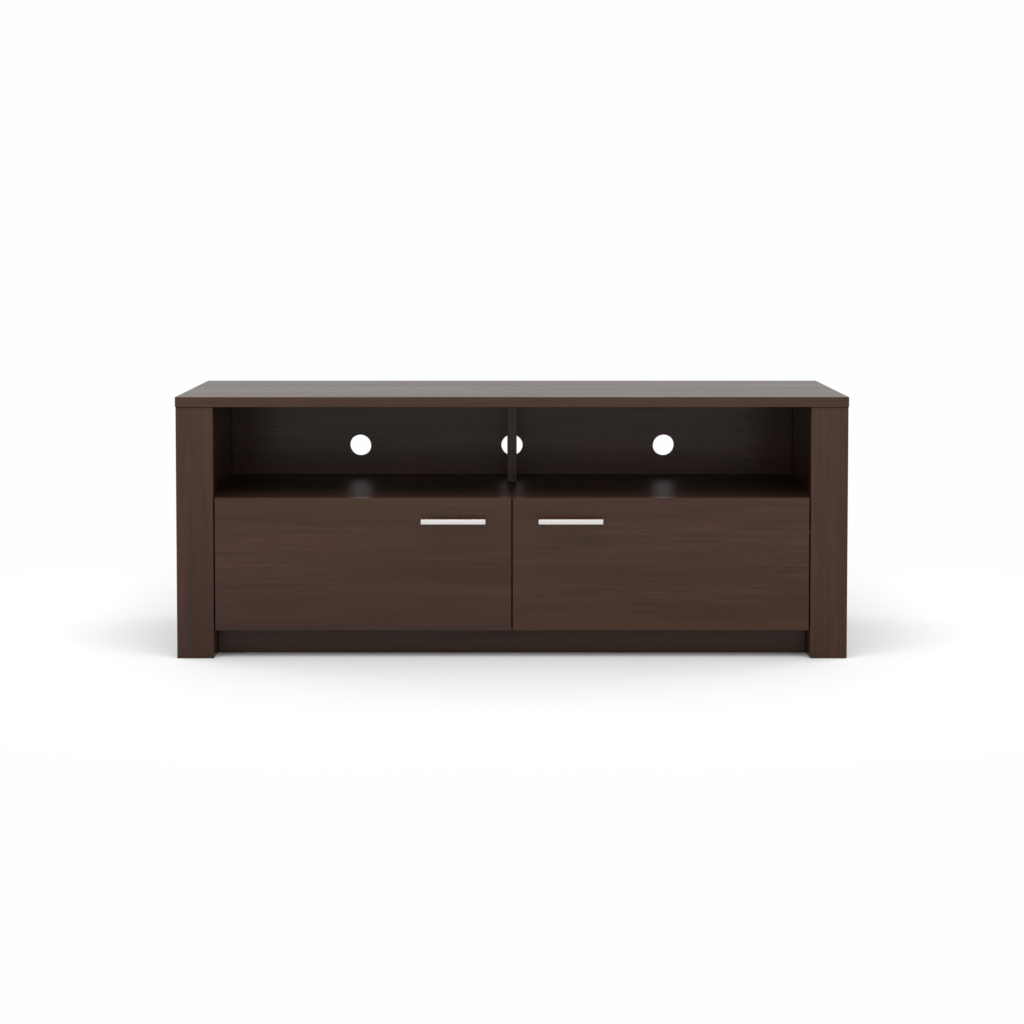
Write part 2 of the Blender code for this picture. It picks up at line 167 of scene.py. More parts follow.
def make_room():
    """White all round, and lit a little more from the front than from behind."""
    world = bpy.data.worlds.new("white_room")
    world.use_nodes = True
    room = Graph(world.node_tree)
    facing = room.split(room.node("ShaderNodeTexCoord", {}, {}, 0))[Y]
    strength = room.ramp(facing, 1.0, -1.0, ROOM_BACK, ROOM_FRONT)
    seen = room.node("ShaderNodeLightPath", {}, {}, "Is Camera Ray")
    background = world.node_tree.nodes["Background"]
    room.connect(background.inputs["Color"], WHITE)
    room.connect(background.inputs["Strength"], seen * (ROOM_SEEN - strength) + strength)
    bpy.context.scene.world = world


def make_floor():
    """A pale floor that fades into the white room away from the stand."""
    shape = bmesh.new()
    bmesh.ops.create_circle(
        shape, cap_ends=True, segments=FLOOR_SEGMENTS, radius=FLOOR_FADE_END
    )
    mesh = bpy.data.meshes.new("studio_floor")
    shape.to_mesh(mesh)
    shape.free()
    floor = bpy.data.objects.new("studio_floor", mesh)
    bpy.context.scene.collection.objects.link(floor)
    paint = Finish("floor_paint", specular=0.0)
    paint.set("Roughness", 1.0)
    length = {"operation": "LENGTH"}
    distance = paint.node("ShaderNodeVectorMath", length, {0: paint.place()}, "Value")
    bounced = paint.node("ShaderNodeLightPath", {}, {}, "Is Diffuse Ray")
    paint.colour(paint.blend(bounced, opaque((FLOOR_TONE,) * 3), opaque((FLOOR_BOUNCE,) * 3)))
    paint.set("Alpha", paint.ramp(distance, FLOOR_FADE_START, FLOOR_FADE_END, 1.0, 0.0))
    mesh.materials.append(paint.material)


def make_studio():
    """White room, pale floor, one lamp overhead and one on each side."""
    bpy.context.scene.view_settings.view_transform = "Standard"
    make_room()
    make_floor()
    overhead = (OVERHEAD_PLACE, OVERHEAD_SIZE, OVERHEAD_POWER, OVERHEAD_TARGET)
    make_softbox("overhead_softbox", *overhead)
    across, back, height = SIDE_LIGHT_PLACE
    for side, sign in SIDES.items():
        place = (sign * across, back, height)
        target = (sign * SIDE_LIGHT_TARGET, 0.0, 0.0)
        make_softbox(f"{side}_softbox", place, SIDE_LIGHT_SIZE, SIDE_LIGHT_POWER, target)


# ---------------------------------------------------------------- materials

class Signal:
    """A socket's number that takes part in arithmetic: each operator adds a Math node."""

    def __init__(self, graph, socket):
        self.graph = graph
        self.socket = socket

    def math(self, operation, *values):
        return self.graph.node("ShaderNodeMath", {"operation": operation}, dict(enumerate(values)))

    def __add__(self, other):
        return self.math("ADD", self, other)

    def __sub__(self, other):
        return self.math("SUBTRACT", self, other)

    def __rsub__(self, other):
        return self.math("SUBTRACT", other, self)

    def __mul__(self, other):
        return self.math("MULTIPLY", self, other)

    def __abs__(self):
        return self.math("ABSOLUTE", self)

    def over(self, limit):
        return self.math("GREATER_THAN", self, limit)

    __radd__ = __add__
    __rmul__ = __mul__


class Graph:
    """A node tree with a single way to add any node, and short names for the usual ones."""

    def __init__(self, tree):
        self.tree = tree

    def connect(self, socket, value):
        """Links a Signal to a socket, or sets the socket to a plain value."""
        if isinstance(value, Signal):
            self.tree.links.new(value.socket, socket)
        else:
            socket.default_value = value

    def node(self, kind, settings, inputs, output=0):
        """Adds a node: its settings first, then its inputs, each a value or a Signal."""
        made = self.tree.nodes.new(kind)
        for key, value in settings.items():
            setattr(made, key, value)
        for key, value in inputs.items():
            self.connect(made.inputs[key], value)
        return Signal(self, made.outputs[output])

    def place(self, output="Object"):
        """Where a point lies on the object, or which way its face looks."""
        return self.node("ShaderNodeTexCoord", {}, {}, output)

    def split(self, vector):
        """A vector's three numbers."""
        return [self.node("ShaderNodeSeparateXYZ", {}, {0: vector}, axis) for axis in (X, Y, Z)]

    def vector(self, x, y, z):
        return self.node("ShaderNodeCombineXYZ", {}, {0: x, 1: y, 2: z})

    def stretch(self, vector, scale):
        """A place scaled along each axis, so that a pattern repeats that often in a metre."""
        return self.node("ShaderNodeVectorMath", {"operation": "MULTIPLY"}, {0: vector, 1: scale})

    def noise(self, vector, detail=2.0, roughness=0.5):
        values = {"Vector": vector, "Scale": 1.0, "Detail": detail, "Roughness": roughness}
        return self.node("ShaderNodeTexNoise", {}, values)

    def ramp(self, value, low, high, to_low=0.0, to_high=1.0):
        """Eases a number from one range into another."""
        ends = {"From Min": low, "From Max": high, "To Min": to_low, "To Max": to_high}
        smooth = {"interpolation_type": "SMOOTHSTEP"}
        return self.node("ShaderNodeMapRange", smooth, {"Value": value, **ends})

    # A Mix node has one set of sockets for each kind of data, so they go by number
    def blend(self, factor, first, second):
        """A colour between two others."""
        inputs = {0: factor, 6: first, 7: second}
        return self.node("ShaderNodeMix", {"data_type": "RGBA"}, inputs, 2)

    def blend_places(self, factor, first, second):
        """A vector between two others."""
        inputs = {0: factor, 4: first, 5: second}
        return self.node("ShaderNodeMix", {"data_type": "VECTOR"}, inputs, 1)


class Finish(Graph):
    """One material and its Principled shader."""

    def __init__(self, name, metallic=0.0, specular=0.5):
        self.material = bpy.data.materials.new(name)
        self.material.use_nodes = True
        super().__init__(self.material.node_tree)
        self.shader = self.tree.nodes["Principled BSDF"]
        self.set("Metallic", metallic)
        self.set("Specular IOR Level", specular)

    def set(self, socket, value):
        self.connect(self.shader.inputs[socket], value)

    def colour(self, value):
        self.set("Base Color", value)

    def bump(self, height, distance):
        """Relief: a height from 0 to 1, and how many metres that is."""
        bent = self.node("ShaderNodeBump", {}, {"Height": height, "Distance": distance})
        self.set("Normal", bent)


def grain_space(finish, grain, end_run, seed):
    """Where a point lies in the grain: along it, then twice across it.

    On the faces that the grain runs into, the edge strip's own grain runs along end_run."""
    spot = finish.split(finish.place())
    facing = abs(finish.split(finish.place("Normal"))[grain])
    across = [axis for axis in (X, Y, Z) if axis != grain]
    on_face = finish.vector(spot[grain] + seed, spot[across[0]] + seed, spot[across[1]])
    rest = [axis for axis in (X, Y, Z) if axis != end_run]
    on_end = finish.vector(spot[end_run] + seed, spot[rest[0]], spot[rest[1]] + seed)
    return finish.blend_places(facing.over(SQUARE_ON), on_face, on_end)


LIGHT_BROWN = (0.0605, 0.0256, 0.0146)
DARK_BROWN = (0.0398, 0.0162, 0.0092)
OLIVE_BROWN = (0.0474, 0.0237, 0.0125)
PORE_BROWN = (0.0190, 0.0088, 0.0056)
CHIP_PALE = (0.330, 0.215, 0.118)
CHIP_DARK = (0.120, 0.068, 0.034)
SEALER = (0.0120, 0.0085, 0.0070)
FIBRE_PALE = (0.205, 0.118, 0.062)
FIBRE_DARK = (0.128, 0.069, 0.034)
NICKEL = (0.66, 0.65, 0.62)
SATIN = (0.655, 0.648, 0.63)
PALE_NYLON = (0.60, 0.60, 0.57)

# Print of the laminate: how many times a pattern repeats in a metre, along and across the grain
WANDER_REPEATS = (1.6, 5.0, 5.0)
BAND_REPEATS = (1.4, 26.0, 26.0)
STREAK_REPEATS = (5.0, 190.0, 190.0)
LINE_REPEATS = (11.0, 640.0, 640.0)
PORE_REPEATS = (34.0, 1500.0, 1500.0)
HUE_REPEATS = (0.9, 9.0, 9.0)
WANDER = 0.018
LINE_STRENGTH = 0.26
PORE_STRENGTH = 0.7
PORE_ROUGHNESS = 0.16
DARK_ROUGHNESS = 0.04
LAMINATE_SPECULAR = 0.22
LAMINATE_RELIEF = 0.000014
CORE_ROUGHNESS = 0.85
CORE_COARSENESS = 20.0
CHIP_REPEATS = (310.0, 310.0, 310.0)
SEALER_REPEATS = (420.0, 420.0, 420.0)
FIBRE_REPEATS = (130.0, 130.0, 700.0)
BLOTCH_REPEATS = (14.0, 14.0, 22.0)
PLATING_REPEATS = (260.0, 260.0, 260.0)
SMUDGE_REPEATS = (60.0, 60.0, 60.0)
MOTTLE_REPEATS = (700.0, 700.0, 700.0)
BRUSH_RELIEF = 0.000004
MOTTLE_RELIEF = 0.00002
SQUARE_ON = 0.7


def laminate(name, grain, end_run, seed, roughness, painted_shade, bare=None):
    """Dark wood-print laminate: broad bands, streaks and short dark pores along the grain.

    The argument after roughness dims this board's print beside the others': painted shade, not a
    difference in the print. bare names the faces that the laminate leaves off and what shows there
    instead."""
    finish = Finish(name, specular=LAMINATE_SPECULAR)
    browns = (LIGHT_BROWN, DARK_BROWN, OLIVE_BROWN, PORE_BROWN)
    # Painted shade: the browns dimmed here give a darker copy of the print for the boards in the
    # tones table
    light, dark_brown, olive, pore = (opaque(brown, painted_shade) for brown in browns)
    spot = grain_space(finish, grain, end_run, seed)
    wander = (finish.noise(finish.stretch(spot, WANDER_REPEATS), 1.0) - 0.5) * WANDER
    strayed = {0: spot, 1: finish.vector(0.0, wander, wander)}
    bent = finish.node("ShaderNodeVectorMath", {"operation": "ADD"}, strayed)
    bands = finish.noise(finish.stretch(bent, BAND_REPEATS), 3.0, 0.55)
    streaks = finish.noise(finish.stretch(bent, STREAK_REPEATS), 4.0, 0.62)
    lines = finish.noise(finish.stretch(bent, LINE_REPEATS), 3.0, 0.6)
    pores = finish.noise(finish.stretch(bent, PORE_REPEATS))
    hue = finish.noise(finish.stretch(bent, HUE_REPEATS), 1.0)
    dark = finish.ramp(bands * 0.55 + streaks * 0.45, 0.36, 0.64)
    body = finish.blend(finish.ramp(hue, 0.42, 0.62), light, olive)
    shaded = finish.blend(dark, body, dark_brown)
    lined = finish.blend(finish.ramp(lines, 0.36, 0.66) * LINE_STRENGTH, shaded, pore)
    pits = finish.ramp(pores, 0.58, 0.70) * finish.ramp(streaks, 0.40, 0.60)
    colour = finish.blend(pits * PORE_STRENGTH, lined, pore)
    gloss = roughness + pits * PORE_ROUGHNESS + dark * DARK_ROUGHNESS
    relief = streaks * 0.25 - pits
    if bare is None:
        finish.colour(colour)
        finish.set("Roughness", gloss)
        finish.bump(relief, LAMINATE_RELIEF)
        return finish.material
    mask, core, core_relief = bare(finish)
    finish.colour(finish.blend(mask, colour, core))
    finish.set("Roughness", gloss + mask * (CORE_ROUGHNESS - gloss))
    finish.bump(relief + mask * (core_relief * CORE_COARSENESS - relief), LAMINATE_RELIEF)
    return finish.material


# What shows where a board has no laminate: the faces' mask, their colour and their relief

def chipboard_feet(finish):
    """Raw chipboard on the faces that look down."""
    mask = (finish.split(finish.place("Normal"))[Z] * -1.0).over(SQUARE_ON)
    chips = finish.noise(finish.stretch(finish.place(), CHIP_REPEATS), 3.0, 0.7)
    mixed = finish.ramp(chips, 0.38, 0.62)
    return mask, finish.blend(mixed, opaque(CHIP_PALE), opaque(CHIP_DARK)), chips


def sealed_holes(finish):
    """Matt dark sealer inside the cable holes."""
    mask = 1.0 - abs(finish.split(finish.place("Normal"))[Y]).over(0.5)
    chips = finish.noise(finish.stretch(finish.place(), SEALER_REPEATS), 3.0, 0.7)
    return mask, finish.blend(chips, opaque(SEALER), opaque(DARK_BROWN)), chips


def fibreboard_back(finish):
    """Bare fibreboard on the side of the thin sheet that faces the wall."""
    mask = finish.split(finish.place("Normal"))[Y].over(0.5)
    fibres = finish.noise(finish.stretch(finish.place(), FIBRE_REPEATS), 4.0, 0.7)
    blotches = finish.noise(finish.stretch(finish.place(), BLOTCH_REPEATS))
    mixed = finish.ramp(fibres * 0.65 + blotches * 0.35, 0.34, 0.66)
    return mask, finish.blend(mixed, opaque(FIBRE_PALE), opaque(FIBRE_DARK)), fibres


def metal(name, colour, roughness, brushed=None):
    """Plated or satin metal, with brush marks along an axis where one is given."""
    finish = Finish(name, metallic=1.0)
    spot = finish.place()
    repeats = PLATING_REPEATS
    if brushed is not None:
        repeats = tuple(40.0 if axis == brushed else 2600.0 for axis in (X, Y, Z))
    grain = finish.noise(finish.stretch(spot, repeats))
    smudge = finish.noise(finish.stretch(spot, SMUDGE_REPEATS))
    mixed = grain * 0.5 + smudge * 0.5
    finish.colour(finish.blend(mixed, opaque(colour), opaque(colour, 0.90)))
    finish.set("Roughness", roughness - 0.04 + grain * 0.06 + smudge * 0.05)
    if brushed is not None:
        finish.bump(grain, BRUSH_RELIEF)
    return finish.material


def plastic(name, colour, roughness):
    """Moulded plastic with a faint mottle."""
    finish = Finish(name, specular=0.4)
    mottle = finish.noise(finish.stretch(finish.place(), MOTTLE_REPEATS))
    finish.colour(finish.blend(mottle, opaque(colour), opaque(colour, 0.88)))
    finish.set("Roughness", roughness + mottle * 0.08)
    finish.bump(mottle, MOTTLE_RELIEF)
    return finish.material


# ---------------------------------------------------------------- shapes

CREASE = 35.0  # degrees from which an edge stays sharp


def placed(shape, matrix):
    """Moves a shape to where it belongs."""
    bmesh.ops.transform(shape, matrix=matrix, verts=shape.verts[:])
    return shape


def towards(direction, place):
    """Turns a shape's Z to a direction and puts its origin in a place."""
    turn = Vector(UPWARDS).rotation_difference(Vector(direction))
    return Matrix.Translation(place) @ turn.to_matrix().to_4x4()


def gather(*shapes):
    """Several shapes as one."""
    whole = bmesh.new()
    for shape in shapes:
        part = bpy.data.meshes.new("part")
        shape.to_mesh(part)
        shape.free()
        whole.from_mesh(part)
        bpy.data.meshes.remove(part)
    return whole


def turned(profile, steps=32):
    """A lathe shape round Z: the profile runs (radius, height) from the axis to the axis."""
    shape = bmesh.new()
    line = [shape.verts.new((radius, 0.0, height)) for radius, height in profile]
    edges = [shape.edges.new(pair) for pair in zip(line, line[1:])]
    bmesh.ops.spin(
        shape,
        geom=line + edges,
        axis=UPWARDS,
        cent=(0.0, 0.0, 0.0),
        angle=math.tau,
        steps=steps,
        use_merge=True,
    )
    bmesh.ops.remove_doubles(shape, verts=shape.verts[:], dist=MERGE)
    return shape


def rounded(shape, edges, radius, segments=2):
    """Rounds some of a shape's edges."""
    bmesh.ops.bevel(
        shape,
        geom=edges,
        offset=radius,
        offset_type="OFFSET",
        affect="EDGES",
        segments=segments,
        profile=0.5,
        material=-1,
    )
    return shape


def block(low, high, edge, segments=2):
    """A bar or plate between two corners, with rounded edges."""
    shape = bmesh.new()
    low, high = Vector(low), Vector(high)
    size = [abs(length) for length in high - low]
    matrix = Matrix.Translation((low + high) / 2) @ Matrix.Diagonal((*size, 1.0))
    bmesh.ops.create_cube(shape, size=1.0, matrix=matrix)
    return rounded(shape, shape.edges[:], edge, segments)


def span(edge, axis):
    """How far an edge runs along an axis."""
    start, end = edge.verts
    return abs(start.co[axis] - end.co[axis])


def cut_plate(outline, thickness, corner=0.0, edge=0.0, corners_above=-math.inf):
    """A plate of a flat outline, centred on Z 0, with rounded corners and edges."""
    shape = bmesh.new()
    face = shape.faces.new([shape.verts.new((x, y, -thickness / 2)) for x, y in outline])
    grown = bmesh.ops.extrude_face_region(shape, geom=[face])["geom"]
    raised = [item for item in grown if isinstance(item, bmesh.types.BMVert)]
    bmesh.ops.translate(shape, verts=raised, vec=(0.0, 0.0, thickness))
    bmesh.ops.recalc_face_normals(shape, faces=shape.faces[:])
    if corner:
        upright = [edge for edge in shape.edges if span(edge, Z) > thickness / 2]
        rounded(shape, [e for e in upright if e.verts[0].co.y > corners_above], corner, 4)
    if edge:
        flat = [line for line in shape.edges if span(line, Z) < thickness / 2]
        rims = [line for line in flat if line.calc_face_angle(0.0) > 1.0]
        rounded(shape, rims, edge, 2)
    return shape


CROSS_LINES = (0.0, 0.13, 0.44, 0.74, 1.0)
CROSS_REACH = 0.46
CROSS_HALF = 0.14


def screw_head(radius, rise, rim, recess):
    """A domed head with a cross recess, its flat underside at Z 0."""
    shape = bmesh.new()
    steps = 2 * (len(CROSS_LINES) - 1)
    bmesh.ops.create_grid(shape, x_segments=steps, y_segments=steps, size=1.0)
    for vert in shape.verts:
        spot = [
            math.copysign(CROSS_LINES[round(abs(part) * (len(CROSS_LINES) - 1))], part)
            for part in vert.co.xy
        ]
        reach = max(abs(part) for part in spot)
        if reach > CROSS_REACH:
            spot = [part * reach / math.hypot(*spot) for part in spot]
        fall = min(1.0, math.hypot(*spot)) ** 2
        vert.co = (spot[0] * radius, spot[1] * radius, rise - (rise - rim) * fall)
    arms = []
    for face in shape.faces:
        x, y = (abs(part) / radius for part in face.calc_center_median().xy)
        if min(x, y) < CROSS_HALF and max(x, y) < CROSS_REACH:
            arms.append(face)
    sunk = bmesh.ops.extrude_face_region(shape, geom=arms)["geom"]
    bmesh.ops.delete(shape, geom=[face for face in arms if face.is_valid], context="FACES_ONLY")
    floor = [item for item in sunk if isinstance(item, bmesh.types.BMVert)]
    bmesh.ops.scale(shape, verts=floor, vec=(0.72, 0.72, 1.0))
    bmesh.ops.translate(shape, verts=floor, vec=(0.0, 0.0, -recess))
    border = [edge for edge in shape.edges if edge.is_boundary]
    skirt = bmesh.ops.extrude_edge_only(shape, edges=border)["geom"]
    lower = [item for item in skirt if isinstance(item, bmesh.types.BMVert)]
    bmesh.ops.scale(shape, verts=lower, vec=(1.0, 1.0, 0.0))
    bmesh.ops.edgeloop_fill(shape, edges=[edge for edge in shape.edges if edge.is_boundary])
    bmesh.ops.recalc_face_normals(shape, faces=shape.faces[:])
    return shape


def make_piece(name, shape, material, body=None, replaced=()):
    """Makes a shape a piece of the stand, which moves with a body."""
    bmesh.ops.recalc_face_normals(shape, faces=shape.faces[:])
    mesh = bpy.data.meshes.new(name)
    shape.to_mesh(mesh)
    shape.free()
    mesh.shade_smooth()
    mesh.set_sharp_from_angle(angle=math.radians(CREASE))
    mesh.materials.append(material)
    piece = bpy.data.objects.new(name, mesh)
    bpy.context.scene.collection.objects.link(piece)
    if replaced:
        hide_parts(*replaced)
    if body is not None:
        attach(piece, body)
    return piece


def centre_of(node):
    """The middle of a CAD node's box."""
    low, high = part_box(node)
    return (Vector(low) + Vector(high)) / 2


# ---------------------------------------------------------------- boards

def dress(node, material):
    """Gives a CAD node its material in place of the one it was packed with."""
    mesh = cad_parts[node].data
    mesh.materials.clear()
    mesh.materials.append(material)


# Each board: the axis of its grain, the axis of its end strips' grain, its roughness, and the
# faces that its laminate leaves bare. A name with {side} stands for two boards.
BOARDS = {
    "top_panel": (X, Y, 0.26, None),
    "{side}_outer_side": (Z, Y, 0.28, chipboard_feet),
    "{side}_inner_side": (Z, Y, 0.30, chipboard_feet),
    "{side}_stile": (Z, X, 0.26, chipboard_feet),
    "{side}_hinge_strip": (Z, Y, 0.30, chipboard_feet),
    "{side}_rear_filler": (Z, Y, 0.30, chipboard_feet),
    "shelf_deck": (X, Y, 0.36, None),
    "bottom_panel": (X, Y, 0.30, None),
    "upper_divider": (Z, Y, 0.28, None),
    "lower_partition": (Z, Y, 0.30, None),
    "front_plinth": (X, Z, 0.28, chipboard_feet),
    "rear_plinth": (X, Z, 0.28, chipboard_feet),
    "centre_brace": (Y, Z, 0.30, chipboard_feet),
    "upper_back_panel": (X, Z, 0.24, sealed_holes),
    "lower_back_panel": (X, Z, 0.30, fibreboard_back),
    "{side}_door_panel": (X, Z, 0.26, None),
}
# Painted shade: darker copies of the same print, strongly on the shelf deck for the shade in the
# bay, and a little on the stiles
PAINTED_SHADE_TONES = {"shelf_deck": 0.72, "left_stile": 0.95, "right_stile": 0.95}
SEED_STEP = 3.7


def board_nodes():
    """Every board's node with its row of the table, the left one of a pair first."""
    for name, row in BOARDS.items():
        for side in SIDES if "{side}" in name else ("",):
            yield name.format(side=side), row


def dress_boards():
    """Gives each board its own run of the print, so that no two look alike."""
    for number, (node, (grain, end_run, roughness, bare)) in enumerate(board_nodes()):
        seed = SEED_STEP * number
        # Below 1 this is painted shade, a darker copy of the print
        painted_shade = PAINTED_SHADE_TONES.get(node, 1.0)
        dress(node, laminate(f"laminate_{node}", grain, end_run, seed, roughness, painted_shade, bare))


# ---------------------------------------------------------------- fittings

def make_handle(side, satin, steel):
    """A square bar on two round posts, held by two screws through the door."""
    door = f"{side}_door"
    bar = f"{side}_handle_bar"
    grip = block(*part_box(bar), BAR_EDGE, 3)
    make_piece(f"{side}_handle_grip", grip, satin, door, [bar])
    posts, screws = [], []
    for end in POSTS:
        post = f"{side}_{end}_handle_post"
        low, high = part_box(post)
        centre = centre_of(post)
        reach = high[Y] - low[Y]
        foot = (centre.x, high[Y], centre.z)
        radius = (high[X] - low[X]) / 2
        profile = (
            (0.0, 0.0),
            (radius, 0.0),
            (radius, 0.0012),
            (radius - 0.0004, 0.0017),
            (radius - 0.0005, reach * 0.5),
            (radius - 0.0002, reach - 0.0008),
            (radius, reach),
            (0.0, reach),
        )
        posts.append(placed(turned(profile), towards(FORWARDS, foot)))
        low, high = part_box(f"{side}_{end}_handle_screw")
        facing = towards(BACKWARDS, (centre.x, high[Y] - HANDLE_SCREW[RISE], centre.z))
        screws.append(placed(turned(HANDLE_SHANK, 16), facing))
        screws.append(placed(screw_head(*HANDLE_SCREW), facing))
    nodes = [f"{side}_{end}_handle_post" for end in POSTS]
    make_piece(f"{side}_handle_posts", gather(*posts), satin, door, nodes)
    nodes = [f"{side}_{end}_handle_screw" for end in POSTS]
    make_piece(f"{side}_handle_screws", gather(*screws), steel, door, nodes)


def reach_of(low, high):
    """The nearer and the farther side of a box, measured across from the stand's middle."""
    return sorted((abs(low[X]), abs(high[X])))


def cup_place(node):
    """How far out a hinge cup's middle is, the door's back there, and the cup's height."""
    low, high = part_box(node)
    rim = reach_of(low, high)[1]
    return rim - CUP_RADIUS - CUP_LIP, high[Y] - STEEL_SHEET, (low[Z] + high[Z]) / 2


def make_cup(side, level, steel):
    """A pressed hinge cup sunk in the door's back, with its ears, screws and two pins."""
    node = f"{side}_{level}_hinge_cup"
    sign = SIDES[side]
    cup_x, door_back, height = cup_place(node)
    outer, inner = CUP_RADIUS, CUP_RADIUS - CUP_WALL
    profile = (
        (0.0, -CUP_DEPTH),
        (outer - 0.002, -CUP_DEPTH),
        (outer - 0.0006, -CUP_DEPTH + 0.0006),
        (outer, -CUP_DEPTH + 0.002),
        (outer, 0.0),
        (outer + CUP_LIP, 0.0),
        (outer + CUP_LIP, 0.0006),
        (outer + 0.0011, 0.0011),
        (outer - 0.0002, STEEL_SHEET),
        (inner - 0.0001, 0.0006),
        (inner - 0.0002, -CUP_DEPTH + 0.0032),
        (inner - 0.0010, -CUP_DEPTH + 0.0016),
        (inner - 0.0026, -CUP_DEPTH + 0.0009),
        (0.0, -CUP_DEPTH + 0.0009),
    )
    mouth_place = (sign * cup_x, door_back, height)
    shapes = [placed(turned(profile, 48), towards(BACKWARDS, mouth_place))]
    ear_middle = cup_x - EAR_OFFSET
    mouth = [-EAR_OFFSET + EAR_HALF_WIDTH * step for step in (-1.0, -0.5, 0.0, 0.5, 1.0)]
    outline = [(across, math.sqrt(EAR_START**2 - across**2)) for across in mouth]
    outline += [(mouth[-1], EAR_END), (mouth[0], EAR_END)]
    for up in (-1, 1):
        ear = cut_plate(outline, EAR_THICKNESS, 0.0045, 0.00025, EAR_START)
        upright = Matrix(((sign, 0, 0, 0), (0, 0, 1, 0), (0, up, 0, 0), (0, 0, 0, 1)))
        centre = (sign * cup_x, door_back + EAR_THICKNESS / 2, height)
        shapes.append(placed(ear, Matrix.Translation(centre) @ upright))
        place = (sign * ear_middle, door_back + EAR_THICKNESS, height + up * EAR_SCREW_STEP)
        shapes.append(placed(screw_head(*EAR_SCREW), towards(BACKWARDS, place)))
    for across, sunk in CUP_PINS:
        shapes.append(pin((sign * (cup_x + across), door_back - sunk, height), CUP_PIN_LENGTH))
    door = f"{side}_door"
    make_piece(f"{node}_pressing", gather(*shapes), steel, door, [node])


def pin(centre, length):
    """A round steel pin that stands upright."""
    half = length / 2
    profile = (
        (0.0, -half),
        (PIN_RADIUS - 0.0003, -half),
        (PIN_RADIUS, -half + 0.0003),
        (PIN_RADIUS, half - 0.0003),
        (PIN_RADIUS - 0.0003, half),
        (0.0, half),
    )
    return placed(turned(profile, 16), Matrix.Translation(centre))


def make_arm(side, level, steel):
    """A folded arm: a web with two cheeks, open at the nose, where the links turn on pins."""
    node = f"{side}_{level}_hinge_arm"
    sign = SIDES[side]
    low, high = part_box(node)
    nose, root = reach_of(low, high)
    tip, rear = low[Y], high[Y]
    height = (low[Z] + high[Z]) / 2
    half_width = (high[Z] - low[Z]) / 2
    bend, heel = tip + 0.012, tip + 0.030
    outer = root - 0.011
    cheek = [
        (root, rear),
        (root, heel),
        (nose + 0.010, bend),
        (nose + 0.010, tip + 0.003),
        (nose + 0.007, tip),
        (nose + 0.003, tip),
        (nose, tip + 0.003),
        (nose, bend),
        (outer, heel),
        (outer, rear),
    ]
    sheet = STEEL_SHEET
    web = [
        (outer, rear),
        (outer, heel),
        (nose, bend),
        (nose, tip + 0.007),
        (nose + sheet, tip + 0.007),
        (nose + sheet, bend),
        (outer + sheet, heel),
        (outer + sheet, rear),
    ]
    shapes = []
    for up in (-1, 1):
        plate = cut_plate([(sign * x, y) for x, y in cheek], sheet, 0.0, 0.00035)
        level_of_cheek = height + up * (half_width - sheet / 2)
        shapes.append(placed(plate, Matrix.Translation((0.0, 0.0, level_of_cheek))))
    plate = cut_plate([(sign * x, y) for x, y in web], 2 * half_width - 0.0006, 0.0, 0.0003)
    shapes.append(placed(plate, Matrix.Translation((0.0, 0.0, height))))
    for across, behind in NOSE_PINS:
        shapes.append(pin((sign * (nose + across), tip + behind, height), 2 * half_width + 0.0004))
    for y, radius in ((heel + 0.009, 0.0036), (rear - 0.008, 0.0040)):
        head = screw_head(radius, *ARM_SCREW)
        shapes.append(placed(head, towards((-sign, 0.0, 0.0), (sign * outer, y, height))))
    make_piece(f"{node}_folded", gather(*shapes), steel, "carcass", [node])


def make_plate(side, level, steel):
    """The cross-shaped mounting plate with its two wing screws."""
    node = f"{side}_{level}_hinge_plate"
    sign = SIDES[side]
    low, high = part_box(node)
    centre = centre_of(node)
    half_length = (high[Y] - low[Y]) / 2
    half_span = (high[Z] - low[Z]) / 2
    half_width, half_wing = 0.008, 0.0085
    quarter = [(half_length, half_width), (half_wing, half_width), (half_wing, half_span)]
    upper = quarter + [(-y, z) for y, z in reversed(quarter)]
    cross = upper + [(-y, -z) for y, z in upper]
    thickness = high[X] - low[X]
    plate = cut_plate(cross, thickness, 0.0022, 0.0004)
    flat_on_strip = Matrix(((0, 0, 1, 0), (1, 0, 0, 0), (0, 1, 0, 0), (0, 0, 0, 1)))
    shapes = [placed(plate, Matrix.Translation(centre) @ flat_on_strip)]
    face = sign * reach_of(low, high)[0]
    for up in (-1, 1):
        place = (face, centre.y, centre.z + up * WING_SCREW_STEP)
        shapes.append(placed(screw_head(*WING_SCREW), towards((-sign, 0.0, 0.0), place)))
    make_piece(f"{node}_pressing", gather(*shapes), steel, "carcass", [node])


def make_links(side, level, steel):
    """The two links that join the arm to the cup."""
    sign = SIDES[side]
    low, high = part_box(f"{side}_{level}_hinge_arm")
    nose, tip, height = reach_of(low, high)[0], low[Y], (low[Z] + high[Z]) / 2
    cup_x, door_back, _ = cup_place(f"{side}_{level}_hinge_cup")
    shapes = []
    for (across, behind), (reach, sunk) in zip(NOSE_PINS, CUP_PINS):
        start = Vector((sign * (nose + across), tip + behind + LINK_SETBACK, height))
        end = Vector((sign * (cup_x + reach), door_back - sunk - LINK_SETBACK, height))
        run = end - start
        link = bmesh.new()
        size = (LINK_THICKNESS, run.length, LINK_WIDTH)
        bmesh.ops.create_cube(link, size=1.0, matrix=Matrix.Diagonal((*size, 1.0)))
        lengthways = [edge for edge in link.edges if span(edge, Y) > run.length / 2]
        bmesh.ops.subdivide_edges(link, edges=lengthways, cuts=LINK_STEPS, use_grid_fill=True)
        turn = Vector(BACKWARDS).rotation_difference(run).to_matrix().to_4x4()
        shapes.append(placed(link, Matrix.Translation((start + end) / 2) @ turn))
    links = make_piece(f"{side}_{level}_hinge_links", gather(*shapes), steel)
    middle = sign * (nose + cup_x) / 2
    start = (middle, tip + FOLD_START, height)
    end = (middle, door_back - FOLD_END, height)
    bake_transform(links)


